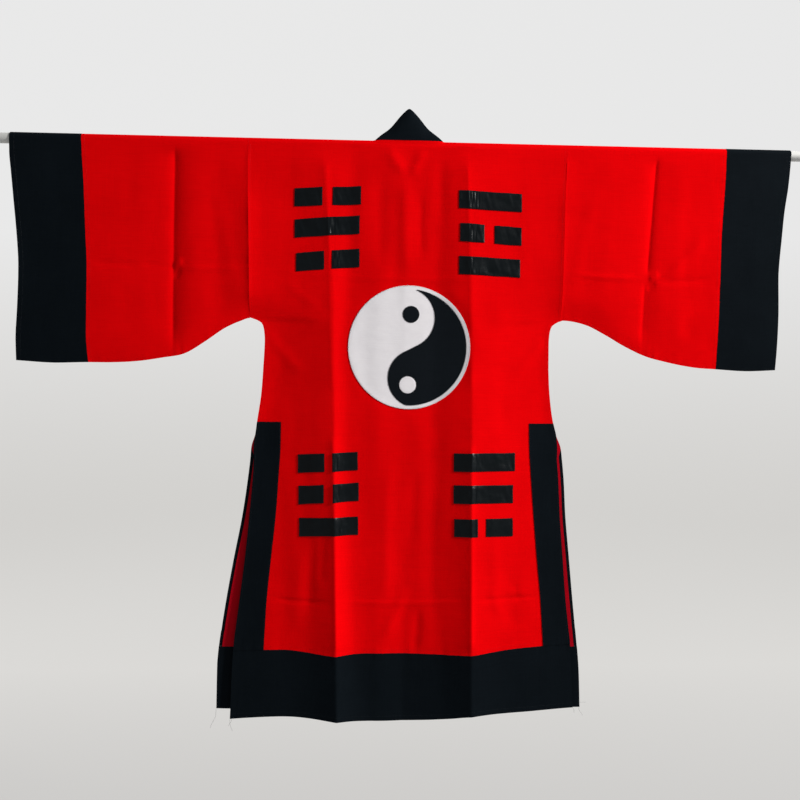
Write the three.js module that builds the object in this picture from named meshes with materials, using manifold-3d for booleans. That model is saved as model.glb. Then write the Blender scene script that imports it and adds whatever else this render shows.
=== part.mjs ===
// Taoist robe, hung by a rod that runs through both of its sleeves.
// Millimetres, +Z up. The rod's axis is the X axis and X = 0 is the robe's middle.
// The robe's back faces -Y and its front faces +Y. Left is -X and right is +X.
import * as THREE from 'three';
import { mergeVertices } from 'three/addons/utils/BufferGeometryUtils.js';
import Module from 'manifold-3d';

const wasm = await Module();
wasm.setup();

// Driving dimensions
const CLOTH = 1.2; // wall of the red and the black cloth
const APPLIQUE = 1; // wall of each piece laid on a panel
const SEAM = 0.3; // space at each seam, and under each piece laid on
const EASE = 0.5; // space between the rod and the cloth over it
const ROD = { radius: 12.5, half: 1000, bevel: 1, sides: 32 };
const BAND = 83; // width of the collar band, and half the back neck
const FRONT_GAP = 4; // half the space between the two front edges
const BORDER = 62; // width of the black borders along the fronts' slits
const TURN_IN = 8; // how far a border runs past the red cloth's edge
const ARMHOLE = 421; // from the rod's axis down to the underarm
const SLIT_TOP = 731; // where each side seam ends and its slit starts
const BORDER_TOP = 672; // where the black borders start
const LENGTH = 1390; // from the rod's axis down to the hem
const SIDE_BLEND = 90; // width over which the layers close towards a side seam
const SLIT_PART = 6; // how far each layer stands from the mid-plane at the slit's foot

// The disc on the back: its middle and outer radius, how far its folds narrow it, the width
// of its white rim, the dots' radius, and the degrees at which the black half's ends lie
const DISC = { x: 3, z: -489, radius: 149.5, narrow: 0.985, ring: 9.5, dot: 20.3, tip: 82.8, foot: -93.1 };
const HEAD = { x: -10.1, z: 71, radius: 73.3 }; // arc of the white head's side
const FOOT = { x: 18.1, z: -75, radius: 69.7 }; // arc of the black foot's side
const DOTS = { black: [4, 79.8], white: [-3.1, -91] };

const BAR_HEIGHT = 44;

const WRAP = ROD.radius + EASE + CLOTH / 2; // from the rod's axis to the cloth's middle
const PRESSED = SEAM / 2 + CLOTH / 2; // from the mid-plane to the cloth's middle at a pressed seam

// A table's rows as objects with named columns
const table = (columns, rows) =>
  rows.map((row) => Object.fromEntries(columns.split(' ').map((name, i) => [name, row[i]])));

// Half widths of the body, from the shoulder down: armhole seam, underarm, side seam, slit
const SIDES = table('down left right', [
  [-14, 388, 388],
  [130, 387, 383],
  [275, 384, 380],
  [421, 382, 375],
  [428, 359, 360],
  [440, 350, 352],
  [470, 346, 348],
  [540, 349, 348],
  [610, 354, 352],
  [672, 363, 361],
  [700, 366.5, 368],
]);
const BACK_SIDES = [
  ...SIDES,
  ...table('down left right', [
    [731, 371, 371],
    [760, 370, 370.5],
    [800, 371.5, 373.5],
    [900, 379.5, 378.5],
    [1000, 389, 386],
    [1100, 401, 393.5],
    [1200, 413, 404],
    [1390, 422, 414],
  ]),
];
const FRONT_SIDES = [
  ...SIDES,
  ...table('down left right', [
    [731, 376, 380],
    [760, 378.5, 384],
    [800, 383, 388],
    [900, 397, 394],
    [1000, 416, 403.5],
    [1100, 433.5, 413],
    [1200, 448, 423],
    [1270, 454.5, 429.5],
    [1390, 456, 434],
  ]),
];

// Inner edges of the back's borders, and of the columns above them
const BACK_BORDERS = table('down left right', [
  [0, 325, 322],
  [440, 305, 302],
  [672, 305, 300],
  [731, 305.5, 301],
  [800, 309.5, 305.5],
  [900, 316, 313],
  [1000, 326, 321.5],
  [1100, 335.5, 331],
  [1230, 342, 338.5],
  [1390, 350, 346],
]);

// Seam and lower edge of the hem bands, across the back and across each front
const BACK_HEM = table('x seam bottom', [
  [-422, 1224, 1388],
  [-290, 1221, 1381],
  [-172, 1232, 1388],
  [-100, 1230, 1393],
  [0, 1231, 1394],
  [110, 1233, 1387],
  [158, 1232, 1379],
  [260, 1222, 1377],
  [415, 1213, 1369],
]);
const FRONT_HEM = table('x seam bottom', [
  [-456, 1216, 1366],
  [-300, 1220, 1372],
  [0, 1226, 1376],
  [300, 1224, 1373],
  [434, 1222, 1372],
]);

// Distances from the middle to the cuff seams and to the cuffs' open edges
const CUFFS = table('down seamLeft seamRight edgeLeft edgeRight', [
  [-14, 783, 787, 950, 951],
  [40, 780, 785, 949, 947],
  [80, 777, 783, 945, 943],
  [140, 774, 779, 939, 934],
  [210, 771, 775, 932, 927],
  [300, 767, 773, 926, 920],
  [400, 768, 771, 929, 922],
  [480, 769, 769, 934, 921],
  [532, 765, 768, 934, 919],
]);

// Depth of the sleeves' lower edge below the rod's axis, outwards from the underarm
const UNDERSIDE = table('out left right', [
  [375, 421, 421],
  [382, 421, 418],
  [406, 429, 420],
  [442, 446, 429],
  [488, 478, 452],
  [537, 508, 480],
  [590, 519, 504],
  [640, 527, 517],
  [720, 532, 531],
  [770, 532, 534],
  [845, 534, 538],
  [935, 529, 534],
]);

// Long folds: distance from the middle at the shoulder, chest and hem, then how far they
// stand out (in, if negative) at the shoulder and hem, and how far they reach on each side
const BACK_FOLDS = table('shoulder chest hem rise flare reach', [
  [-212, -182, -172, 4, 24, 130],
  [-20, -8, -6, 3, -4, 110],
  [140, 155, 159, 4, 21, 120],
]);
const FRONT_FOLDS = table('shoulder chest hem rise flare reach', [
  [-205, -215, -235, 3, 10, 110],
  [205, 210, 228, 3, 8, 105],
]);
const SLEEVE_FOLDS = table('shoulder chest hem rise flare reach', [
  [-562, -564, -566, -3, -3, 80],
  [613, 592, 580, -3, -3, 80],
]);
const CHEST = 350; // where the middle column of the folds' tables is taken

// Lines of the four trigrams: ends, gap of a broken line, top edge's depth at its left
// end, and how far it rises to its right end
const LINES = table('name left right gapFrom gapTo down rise', [
  ['water_1', -276, -116, -209, -184, 109, 8],
  ['water_2', -275, -119, 0, 0, 184, 12],
  ['water_3', -271, -119, -204, -185, 265, 13],
  ['fire_1', 121, 276, 0, 0, 107, -5],
  ['fire_2', 124, 276, 184, 209, 187, -7],
  ['fire_3', 122, 273, 0, 0, 267, -5],
  ['thunder_1', -263, -119, -199, -180, 750, 7],
  ['thunder_2', -261, -116, -200, -178, 826, 9],
  ['thunder_3', -259, -117, 0, 0, 903, 4],
  ['wind_1', 113, 265, 0, 0, 745, 1],
  ['wind_2', 113, 260, 0, 0, 822, 0],
  ['wind_3', 115, 260, 172, 193, 903, 0],
]);

// Rows of points down a layer: degrees round the rod, then depths below its axis
const WRAP_ANGLES = [90, 68, 45, 22];
const DEPTHS = [
  0, 30, 80, 135, 190, 250, 310, 370, 421, 428, 440, 470, 540, 610, 672, 700, 731, 760, 830, 900, 970, 1040,
  1100, 1160,
];
const HEM_PARTS = [0, 0.35, 0.7, 1];
const SLEEVE_PARTS = [0, 0.07, 0.18, 0.32, 0.46, 0.6, 0.72, 0.82, 0.91, 1];

// Columns of points: parts of a border's width, offsets from a fold, and across the neck
const BORDER_PARTS = [0, 0.34, 0.68, 1];
const OUTER_OF_FOLD = [90, 45, 25, 10, 0];
const INNER_OF_FOLD = [10, 25, 45];
const NECK_COLUMNS = [BAND, 74, 45];

const mix = (a, b, t) => a + (b - a) * t;
const clamp = (t) => Math.min(1, Math.max(0, t));
const smooth = (t) => clamp(t) ** 2 * (3 - 2 * clamp(t));
const radians = THREE.MathUtils.degToRad;

// A table's column at any value of its first column, straight between rows
function at(rows, key, column, value) {
  const next = rows.findIndex((row) => row[key] > value);
  if (next === 0) return rows[0][column];
  if (next === -1) return rows.at(-1)[column];
  const [a, b] = [rows[next - 1], rows[next]];
  return mix(a[column], b[column], (value - a[key]) / (b[key] - a[key]));
}

const sideName = (hand) => (hand < 0 ? 'left' : 'right');
const bodySide = (rows, hand, down) => hand * at(rows, 'down', sideName(hand), down);

// Where a long fold runs at a depth
function foldX(fold, down) {
  return down < CHEST
    ? mix(fold.shoulder, fold.chest, clamp(down / CHEST))
    : mix(fold.chest, fold.hem, clamp((down - CHEST) / (LENGTH - CHEST)));
}

// How far the long folds lift the cloth: each has a sharp crest and soft skirts
function relief(folds, x, down) {
  return folds.reduce((sum, fold) => {
    const skirt = 1 - Math.abs(x - foldX(fold, down)) / fold.reach;
    return sum + mix(fold.rise, fold.flare, down / LENGTH) * clamp(skirt) ** 2 * smooth(down / 60);
  }, 0);
}

// Distance from the mid-plane above the rod's axis. Beside the neck the cloth's section is
// a quarter circle round the rod. In the neck it rises to the collar's folded edge.
function overRod(x, z) {
  const rise = Math.max(0, BAND - Math.abs(x));
  const top = WRAP + rise;
  const edge = mix(SEAM / 2, PRESSED, smooth(rise / 20));
  const power = mix(0.5, 1, smooth(rise / 40));
  return edge + (WRAP - edge) * Math.max(0, 1 - (z / top) ** 2) ** power;
}

// A sleeve hangs straight down from the rod and closes towards its lower edge
const sleeveDepth = (part) => mix(PRESSED, WRAP, 1 - clamp(part) ** 3);

// A body layer's distance from the mid-plane at its side
function sideDepth(down) {
  if (down < ARMHOLE) return sleeveDepth(down / ARMHOLE);
  return mix(PRESSED, SLIT_PART, clamp((down - SLIT_TOP) / (LENGTH - SLIT_TOP)));
}

function bodyDepth(folds, sides, x, z) {
  if (z > 0) return overRod(x, z);
  const side = bodySide(sides, Math.sign(x) || 1, -z);
  const inward = smooth((Math.abs(side) - Math.abs(x)) / SIDE_BLEND);
  return mix(sideDepth(-z), WRAP, inward) + relief(folds, x, -z);
}

// A layer's grid of points: rows down it, columns across it, and the side that it faces
function makeGrid(rows, columns, facing, point) {
  const points = Array.from({ length: rows }, (_, r) =>
    Array.from({ length: columns }, (_, c) => point(r, c)),
  );
  return { points, facing };
}

// Part of a grid, from one row and column up to another
function block(grid, [firstRow, lastRow], [firstColumn, lastColumn]) {
  const rows = grid.points.slice(firstRow, lastRow + 1);
  return { points: rows.map((row) => row.slice(firstColumn, lastColumn + 1)), facing: grid.facing };
}

// Pulls one edge of a grid inwards along its own faces, from one row down
function trim(grid, edge, distance = SEAM / 2, firstRow = 0) {
  const points = grid.points.map((row) => row.map((p) => p.clone()));
  const rows = points.slice(firstRow);
  const pull = (p, inner) => p.lerp(inner, distance / p.distanceTo(inner));
  if (edge === 'top') points[0].forEach((p, c) => pull(p, points[1][c]));
  if (edge === 'bottom') points.at(-1).forEach((p, c) => pull(p, points.at(-2)[c]));
  if (edge === 'first') rows.forEach((row) => pull(row[0], row[1]));
  if (edge === 'last') rows.forEach((row) => pull(row.at(-1), row.at(-2)));
  return { points, facing: grid.facing };
}

// Half a seam's space off each edge that is named
const seamed = (grid, ...edges) => edges.reduce((trimmed, edge) => trim(trimmed, edge), grid);

// Turns a panel's slit edge in, below the side seam
const turnedIn = (grid, edge) => trim(grid, edge, TURN_IN, rowAt(SLIT_TOP) + 1);

// Direction out of a grid at each of its points, square to X at its two side edges
function outward({ points, facing }) {
  const [rows, columns] = [points.length, points[0].length];
  return points.map((row, r) =>
    row.map((_, c) => {
      const across = points[r][Math.min(c + 1, columns - 1)].clone().sub(points[r][Math.max(c - 1, 0)]);
      const down = points[Math.min(r + 1, rows - 1)][c].clone().sub(points[Math.max(r - 1, 0)][c]);
      const normal = across.cross(down);
      if (c === 0 || c === columns - 1) normal.x = 0;
      return normal.normalize().multiplyScalar(normal.y * facing < 0 ? -1 : 1);
    }),
  );
}

// A closed wall between two distances out from a grid
function wall(grid, from = -CLOTH / 2, to = CLOTH / 2) {
  const normals = outward(grid);
  const [rows, columns] = [grid.points.length, grid.points[0].length];
  const sheets = [to, from].map((distance) =>
    grid.points.map((row, r) => row.map((p, c) => p.clone().addScaledVector(normals[r][c], distance))),
  );
  const positions = sheets.flat(2).flatMap((p) => p.toArray());
  const outer = (r, c) => r * columns + c;
  const inner = (r, c) => rows * columns + r * columns + c;
  const faces = [];
  for (let r = 0; r < rows - 1; r++) {
    for (let c = 0; c < columns - 1; c++) {
      const corners = [[r, c], [r, c + 1], [r + 1, c + 1], [r + 1, c]];
      const [a, b, d, e] = corners.map(([i, j]) => outer(i, j));
      const [p, q, s, t] = corners.map(([i, j]) => inner(i, j));
      faces.push([a, b, d], [a, d, e], [p, s, q], [p, t, s]);
    }
  }
  const rim = [];
  for (let c = 0; c < columns - 1; c++) rim.push([0, c]);
  for (let r = 0; r < rows - 1; r++) rim.push([r, columns - 1]);
  for (let c = columns - 1; c > 0; c--) rim.push([rows - 1, c]);
  for (let r = rows - 1; r > 0; r--) rim.push([r, 0]);
  rim.forEach((here, i) => {
    const next = rim[(i + 1) % rim.length];
    faces.push([outer(...next), outer(...here), inner(...here)]);
    faces.push([outer(...next), inner(...here), inner(...next)]);
  });
  const [corner, beside, below] = [grid.points[0][0], grid.points[0][1], grid.points[1][0]];
  const facing = beside.clone().sub(corner).cross(below.clone().sub(corner));
  const turned = facing.dot(normals[0][0]) < 0;
  const geometry = new THREE.BufferGeometry();
  geometry.setAttribute('position', new THREE.Float32BufferAttribute(positions, 3));
  geometry.setIndex(faces.flatMap((face) => (turned ? face.toReversed() : face)));
  return geometry;
}

function toSolid(geometry) {
  const bare = geometry.clone();
  bare.deleteAttribute('normal');
  bare.deleteAttribute('uv');
  const merged = mergeVertices(bare);
  return new wasm.Manifold(
    new wasm.Mesh({
      numProp: 3,
      vertProperties: new Float32Array(merged.attributes.position.array),
      triVerts: new Uint32Array(merged.index.array),
    }),
  );
}

function toGeometry(solid) {
  const mesh = solid.getMesh();
  const geometry = new THREE.BufferGeometry();
  geometry.setAttribute('position', new THREE.BufferAttribute(mesh.vertProperties, 3));
  geometry.setIndex(new THREE.BufferAttribute(mesh.triVerts, 1));
  return geometry;
}

// A piece laid on a panel: the panel's own points moved out, cut to an outline in X and Z.
// Level 1 lies on the panel and each further level lies on the one before.
function laidOn(grid, level, outline) {
  const from = CLOTH / 2 + SEAM + (level - 1) * (APPLIQUE + SEAM);
  const cutter = new THREE.ExtrudeGeometry(outline, { depth: 200, bevelEnabled: false, curveSegments: 20 });
  cutter.rotateX(Math.PI / 2);
  return toGeometry(toSolid(wall(grid, from, from + APPLIQUE)).intersect(toSolid(cutter)));
}

const red = { color: 0xdc0505, roughness: 0.75, metalness: 0 };
const black = { color: 0x0c1216, roughness: 0.8, metalness: 0 };
const satin = { color: 0x0f161b, roughness: 0.35, metalness: 0 };
const white = { color: 0xdedade, roughness: 0.7, metalness: 0 };
const steel = { color: 0xc9c9c6, roughness: 0.4, metalness: 0.6 };

const robe = new THREE.Group();

function add(name, look, geometry) {
  geometry.computeVertexNormals();
  const mesh = new THREE.Mesh(geometry, new THREE.MeshStandardMaterial(look));
  mesh.name = name;
  robe.add(mesh);
}

// The rod, a round bar with bevelled ends along X
function addRod() {
  const { radius, half, bevel, sides } = ROD;
  const profile = [
    [0, -half],
    [radius - bevel, -half],
    [radius, bevel - half],
    [radius, half - bevel],
    [radius - bevel, half],
    [0, half],
  ].map(([x, y]) => new THREE.Vector2(x, y));
  add('rod', steel, new THREE.LatheGeometry(profile, sides).rotateZ(Math.PI / 2));
}

// Height of a body layer's point: rows over the rod, then down the panel, then down the hem
function bodyHeight(hem, row, x) {
  if (row < WRAP_ANGLES.length) return WRAP * Math.sin(radians(WRAP_ANGLES[row]));
  const below = row - WRAP_ANGLES.length;
  if (below < DEPTHS.length) return -DEPTHS[below];
  const part = HEM_PARTS[below - DEPTHS.length];
  return -mix(at(hem, 'x', 'seam', x), at(hem, 'x', 'bottom', x), part);
}

const rowAt = (down) => WRAP_ANGLES.length + DEPTHS.indexOf(down);
const HEM_ROW = WRAP_ANGLES.length + DEPTHS.length;
const LAST_ROW = HEM_ROW + HEM_PARTS.length - 1;

// X of each column of the back at a depth: borders, both long folds and the neck's columns
function backColumns(down) {
  const [leftFold, , rightFold] = BACK_FOLDS.map((fold) => foldX(fold, down));
  const half = (hand, fold) => [
    ...BORDER_PARTS.map((part) => mix(bodySide(BACK_SIDES, hand, down), bodySide(BACK_BORDERS, hand, down), part)),
    ...OUTER_OF_FOLD.map((d) => fold + hand * d),
    ...INNER_OF_FOLD.map((d) => fold - hand * d),
    ...NECK_COLUMNS.map((d) => hand * d),
  ];
  return [...half(-1, leftFold), 0, ...half(1, rightFold).reverse()];
}

const backCount = backColumns(0).length;
const backGrid = makeGrid(LAST_ROW + 1, backCount, -1, (r, c) => {
  const level = -bodyHeight(BACK_HEM, r, 0);
  const x = backColumns(level)[c];
  const z = bodyHeight(BACK_HEM, r, x);
  return new THREE.Vector3(x, -bodyDepth(BACK_FOLDS, BACK_SIDES, x, z), z);
});

function addBack() {
  const last = backCount - 1;
  const panel = turnedIn(turnedIn(block(backGrid, [0, HEM_ROW], [0, last]), 'first'), 'last');
  add('back_panel', red, wall(seamed(panel, 'bottom', 'first', 'last')));
  add('hem_back', black, wall(seamed(block(backGrid, [HEM_ROW, LAST_ROW], [0, last]), 'top')));
  const borderRows = [rowAt(BORDER_TOP), HEM_ROW];
  const from = CLOTH / 2 + SEAM;
  const borders = { left: [0, 3], right: [last - 3, last] };
  for (const [name, columns] of Object.entries(borders)) {
    const border = seamed(block(backGrid, borderRows, columns), 'bottom');
    add(`slit_back_${name}`, black, wall(border, from, from + APPLIQUE));
  }
}

// Bars of the trigrams, four corners each, a broken line as two bars
function addTrigrams() {
  const panel = block(backGrid, [WRAP_ANGLES.length, HEM_ROW], [2, backCount - 3]);
  for (const { name, left, right, gapFrom, gapTo, down, rise } of LINES) {
    const spans = gapTo ? [['a', left, gapFrom], ['b', gapTo, right]] : [['a', left, right]];
    for (const [part, from, to] of spans) {
      const top = (x) => -down + (rise * (x - left)) / (right - left);
      const outline = new THREE.Shape([
        new THREE.Vector2(from, top(from)),
        new THREE.Vector2(from, top(from) - BAR_HEIGHT),
        new THREE.Vector2(to, top(to) - BAR_HEIGHT),
        new THREE.Vector2(to, top(to)),
      ]);
      add(`bar_${name}${part}`, satin, laidOn(panel, 1, outline));
    }
  }
}

// The disc: a white round, a black half between its outer arc and an S of two arcs with a
// straight piece between them, and a dot on each half
function addDisc() {
  const { x, z, radius, narrow, ring, dot, tip, foot } = DISC;
  const panel = block(backGrid, [rowAt(190), rowAt(760)], [5, backCount - 6]);
  const place = (shape) => {
    const all = shape.getPoints(20);
    const points = all.filter((p, i) => p.distanceTo(all[(i + 1) % all.length]) > 0.01);
    return new THREE.Shape(points.map((p) => new THREE.Vector2(x + p.x * narrow, z + p.y)));
  };
  const circle = (cx, cy, r) => new THREE.Shape().absarc(cx, cy, r, 0, 2 * Math.PI);
  const big = radius - ring;
  const towards = (arc, degrees) =>
    Math.atan2(big * Math.sin(radians(degrees)) - arc.z, big * Math.cos(radians(degrees)) - arc.x);
  const [dx, dz] = [FOOT.x - HEAD.x, FOOT.z - HEAD.z];
  const tangent = Math.atan2(dz, dx) + Math.acos((HEAD.radius + FOOT.radius) / Math.hypot(dx, dz));
  const half = new THREE.Shape();
  half.absarc(0, 0, big, radians(tip), radians(foot), true);
  half.absarc(FOOT.x, FOOT.z, FOOT.radius, towards(FOOT, foot), tangent - Math.PI, true);
  half.absarc(HEAD.x, HEAD.z, HEAD.radius, tangent, towards(HEAD, tip), false);
  add('disc_white', white, laidOn(panel, 1, place(circle(0, 0, radius))));
  add('disc_black', black, laidOn(panel, 2, place(half)));
  add('dot_black', black, laidOn(panel, 2, place(circle(...DOTS.black, dot))));
  add('dot_white', white, laidOn(panel, 3, place(circle(...DOTS.white, dot))));
}

// One front, from its side to the front edge of the collar band
function frontGrid(hand) {
  const fold = FRONT_FOLDS[hand < 0 ? 0 : 1];
  const columns = (down) => {
    const edge = Math.abs(bodySide(FRONT_SIDES, hand, down));
    const crest = Math.abs(foldX(fold, down));
    const across = [...BORDER_PARTS.map((part) => edge - part * BORDER), crest + 50, crest + 20, crest, crest - 20, crest - 50];
    return [...across, mix(BAND, crest - 50, 0.4), BAND, 55, 28, FRONT_GAP].map((d) => hand * d);
  };
  return makeGrid(LAST_ROW + 1, columns(0).length, 1, (r, c) => {
    const level = -bodyHeight(FRONT_HEM, r, 0);
    const x = columns(level)[c];
    const z = bodyHeight(FRONT_HEM, r, x);
    return new THREE.Vector3(x, bodyDepth(FRONT_FOLDS, FRONT_SIDES, x, z), z);
  });
}

function addFront(hand) {
  const name = sideName(hand);
  const grid = frontGrid(hand);
  const neck = grid.points[0].length - 4;
  const panel = block(grid, [0, HEM_ROW], [0, neck]);
  add(`front_${name}`, red, wall(seamed(turnedIn(panel, 'first'), 'first', 'last', 'bottom')));
  const hem = block(grid, [HEM_ROW, LAST_ROW], [0, neck]);
  add(`hem_front_${name}`, black, wall(seamed(hem, 'last', 'top')));
  const from = CLOTH / 2 + SEAM;
  const border = seamed(block(grid, [rowAt(BORDER_TOP), HEM_ROW], [0, 3]), 'bottom');
  add(`slit_front_${name}`, black, wall(border, from, from + APPLIQUE));
  addBand(hand, block(grid, [0, LAST_ROW], [neck, grid.points[0].length - 1]));
}

// The collar band down one front, from its folded upper edge to the hem
function addBand(hand, grid) {
  const lower = grid.points.slice(WRAP_ANGLES.length);
  const columns = grid.points[0].map((p) => p.x);
  const upper = WRAP_ANGLES.map((angle) =>
    columns.map((x) => {
      const z = (WRAP + Math.max(0, BAND - Math.abs(x))) * Math.sin(radians(angle));
      return new THREE.Vector3(x, overRod(x, z), z);
    }),
  );
  const band = { points: [...upper, ...lower], facing: 1 };
  add(`collar_${sideName(hand)}`, black, wall(seamed(band, 'first')));
}

// The collar band across the back neck, between its two folded edges
function addBackCollar() {
  const half = [BAND - 2, 70, 55, 40, 25, 12];
  const columns = [...half.map((d) => -d), 0, ...half.toReversed()];
  const grid = makeGrid(4, columns.length, -1, (r, c) => {
    const x = columns[c];
    const foot = WRAP + SEAM + CLOTH / 2;
    const z = mix(WRAP + BAND - Math.abs(x), foot, r / 3);
    return new THREE.Vector3(x, -overRod(x, z), z);
  });
  add('collar_back', black, wall(grid));
}

// Columns of a sleeve from the armhole seam outwards, closer together at its fold
function sleeveColumns(hand) {
  const crease = hand < 0 ? 0.455 : 0.55;
  const inner = [0, 0.25, 0.5, 0.75, 0.92].map((part) => part * crease);
  const outer = [0, 0.08, 0.25, 0.5, 0.75, 1].map((part) => mix(crease, 1, part));
  return [...inner, ...outer];
}

// One wall of a sleeve or a cuff, between two edges given as distances from the middle
function armGrid(hand, facing, columns, innerEdge, outerEdge) {
  const rows = WRAP_ANGLES.length + SLEEVE_PARTS.length;
  const spread = (part, down) => mix(innerEdge(down), outerEdge(down), part);
  return makeGrid(rows, columns.length, facing, (r, c) => {
    if (r < WRAP_ANGLES.length) {
      const z = WRAP * Math.sin(radians(WRAP_ANGLES[r]));
      const x = hand * spread(columns[c], -z);
      return new THREE.Vector3(x, facing * overRod(x, z), z);
    }
    const part = SLEEVE_PARTS[r - WRAP_ANGLES.length];
    const foot = at(UNDERSIDE, 'out', sideName(hand), spread(columns[c], LENGTH));
    const down = part * foot;
    const x = hand * spread(columns[c], down);
    const lift = relief(SLEEVE_FOLDS, x, down) * smooth((1 - part) / 0.15);
    return new THREE.Vector3(x, facing * (sleeveDepth(part) + lift), -down);
  });
}

function addArm(hand) {
  const name = sideName(hand);
  const column = (rows, key) => (down) => at(rows, 'down', key, down);
  const armhole = (down) => at(SIDES, 'down', name, Math.min(down, ARMHOLE));
  const seam = column(CUFFS, hand < 0 ? 'seamLeft' : 'seamRight');
  const mouth = column(CUFFS, hand < 0 ? 'edgeLeft' : 'edgeRight');
  for (const [layer, facing] of [['back', -1], ['front', 1]]) {
    const sleeve = armGrid(hand, facing, sleeveColumns(hand), armhole, seam);
    add(`sleeve_${name}_${layer}`, red, wall(seamed(sleeve, 'first', 'last')));
    const cuff = armGrid(hand, facing, [0, 0.35, 0.7, 1], seam, mouth);
    add(`cuff_${name}_${layer}`, black, wall(seamed(cuff, 'first')));
  }
}

addRod();
addBack();
addTrigrams();
addDisc();
addBackCollar();
for (const hand of [-1, 1]) {
  addFront(hand);
  addArm(hand);
}

export default robe;
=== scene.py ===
"""Taoist robe seen from its back, hung on a rod that runs through both of its sleeves."""
import math

import bpy
import numpy as np
from mathutils import Matrix, Vector


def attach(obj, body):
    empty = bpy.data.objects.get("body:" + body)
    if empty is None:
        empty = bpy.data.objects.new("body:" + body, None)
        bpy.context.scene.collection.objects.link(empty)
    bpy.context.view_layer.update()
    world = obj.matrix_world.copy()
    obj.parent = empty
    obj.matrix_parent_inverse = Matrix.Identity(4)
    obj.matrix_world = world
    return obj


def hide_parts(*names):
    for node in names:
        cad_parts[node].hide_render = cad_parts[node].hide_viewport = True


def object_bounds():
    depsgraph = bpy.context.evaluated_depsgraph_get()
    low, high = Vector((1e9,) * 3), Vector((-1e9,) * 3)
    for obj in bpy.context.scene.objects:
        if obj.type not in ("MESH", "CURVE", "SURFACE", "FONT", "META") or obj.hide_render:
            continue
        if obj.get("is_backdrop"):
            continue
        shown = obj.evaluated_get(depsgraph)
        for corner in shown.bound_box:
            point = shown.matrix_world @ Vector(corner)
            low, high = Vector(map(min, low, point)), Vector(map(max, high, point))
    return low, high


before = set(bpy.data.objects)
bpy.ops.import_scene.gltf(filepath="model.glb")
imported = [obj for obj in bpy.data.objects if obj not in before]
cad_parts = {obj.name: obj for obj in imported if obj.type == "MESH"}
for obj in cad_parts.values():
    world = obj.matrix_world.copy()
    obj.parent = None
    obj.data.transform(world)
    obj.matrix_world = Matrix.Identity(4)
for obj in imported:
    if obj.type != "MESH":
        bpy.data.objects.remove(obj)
cad_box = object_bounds()

# Sizes are in millimetres, as in the frame, and MM turns them into metres. facing is -1 for the robe's back
# and 1 for its front, and hand is -1 for its left and 1 for its right, as seen from behind.
MM = 0.001
CLOTH = 1.2                # wall of the frame's cloth
SEAM = 0.3                 # space at its seams
WRAP = 13.6                # from the rod's axis to the middle of the cloth over it
PRESSED = SEAM / 2 + CLOTH / 2     # from the mid-plane to the middle of a layer that lies against it
BAND = 83                  # width of the collar band
BAND_OUT = 0.3             # how far its middle lies outside that of the fronts
FRONT_GAP = 4              # half the space between the front edges
BORDER = 62                # width of the borders along the fronts' slits
TURN_IN = 8                # how far a border runs past the red cloth
SLIT_PART = 6              # from the mid-plane to a layer's side edge at the hem
SIDE_BLEND = 165           # width over which a layer rises from its side edge to its full depth
CALM_EDGE = 17             # width along a side edge over which the creases die out
BAR_HEIGHT = 44            # height of a trigram's bar
# Depths below the rod's axis: underarm, slits' tops, borders' tops, whole length and chest
ARMHOLE, SLIT_TOP, BORDER_TOP, LENGTH, CHEST = 421, 731, 672, 1390, 350
# Depths on average: last even row of a panel, hem's seam and hem's lower edge
EVEN_END, HEM_TOP, HEM_FOOT = 1180, 1228, 1385
BELOW_ARMS = 600.0         # a depth below every sleeve
FAR = 200.0                # a distance at which a seam no longer moves the cloth

# The disc: its middle, radius, white rim, share of its width that shows, and its dots' radius, then the
# circles of the two arcs of its S as x, z and radius
DISC_X, DISC_Z, DISC_RADIUS, DISC_RIM, DISC_NARROW, DOT_RADIUS = 3, -489, 149.5, 9.5, 0.985, 20.3
HEAD, FOOT = (-10.1, 71, 73.3), (18.1, -75, 69.7)
TIP, HEEL = 82.8, -93.1    # degrees at which the black half's two ends lie on its outer arc
DOTS = {"dot_black": (4, 79.8), "dot_white": (-3.1, -91)}

THIN = 0.8                 # wall of a single cloth here
DOUBLE = 1.4               # wall of a band, which is folded double
LAID = 1.25                # from a panel's middle to the middle of what is laid on it
LEVEL = 0.9                # between two cloths laid one on the other
STEP = 6                   # spacing of a panel's points
STIFF = 0.6                # share of the creases that the disc's stiff cloth takes away


def hand_name(hand):
    return "left" if hand < 0 else "right"


def mix(a, b, t):
    """A value between two: the first, and the share t of the way to the second."""
    return a + (b - a) * t


def smooth(t):
    """A soft step from 0 to 1: three times the square less twice the cube."""
    t = np.clip(t, 0, 1)
    return t * t * (3 - 2 * t)


def table(columns, rows):
    """A table's columns by name, as arrays."""
    return dict(zip(columns.split(), np.array(rows, float).T))


def along(rows, key, column, value):
    """A table's column at any value of its key, on a smooth curve through its rows: between two rows
    a cubic whose slope at each row is that between the row's neighbours, held to twice the steady slope."""
    keys, values = rows[key], rows[column]
    value = np.clip(value, keys[0], keys[-1])
    i = np.clip(np.searchsorted(keys, value) - 1, 0, len(keys) - 2)
    slopes = np.gradient(values, keys)
    width = keys[i + 1] - keys[i]
    t = (value - keys[i]) / width
    start, end = values[i], values[i + 1]
    steady = (end - start) / width
    held = lambda slope: np.where(slope * steady <= 0, 0,
                                  np.sign(steady) * np.minimum(abs(slope), 2 * abs(steady)))
    first, last = held(slopes[i]), held(slopes[i + 1])
    return (start * (1 + 2 * t) * (1 - t) ** 2 + end * t * t * (3 - 2 * t)
            + width * (first * t * (1 - t) ** 2 - last * t * t * (1 - t)))


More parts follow.
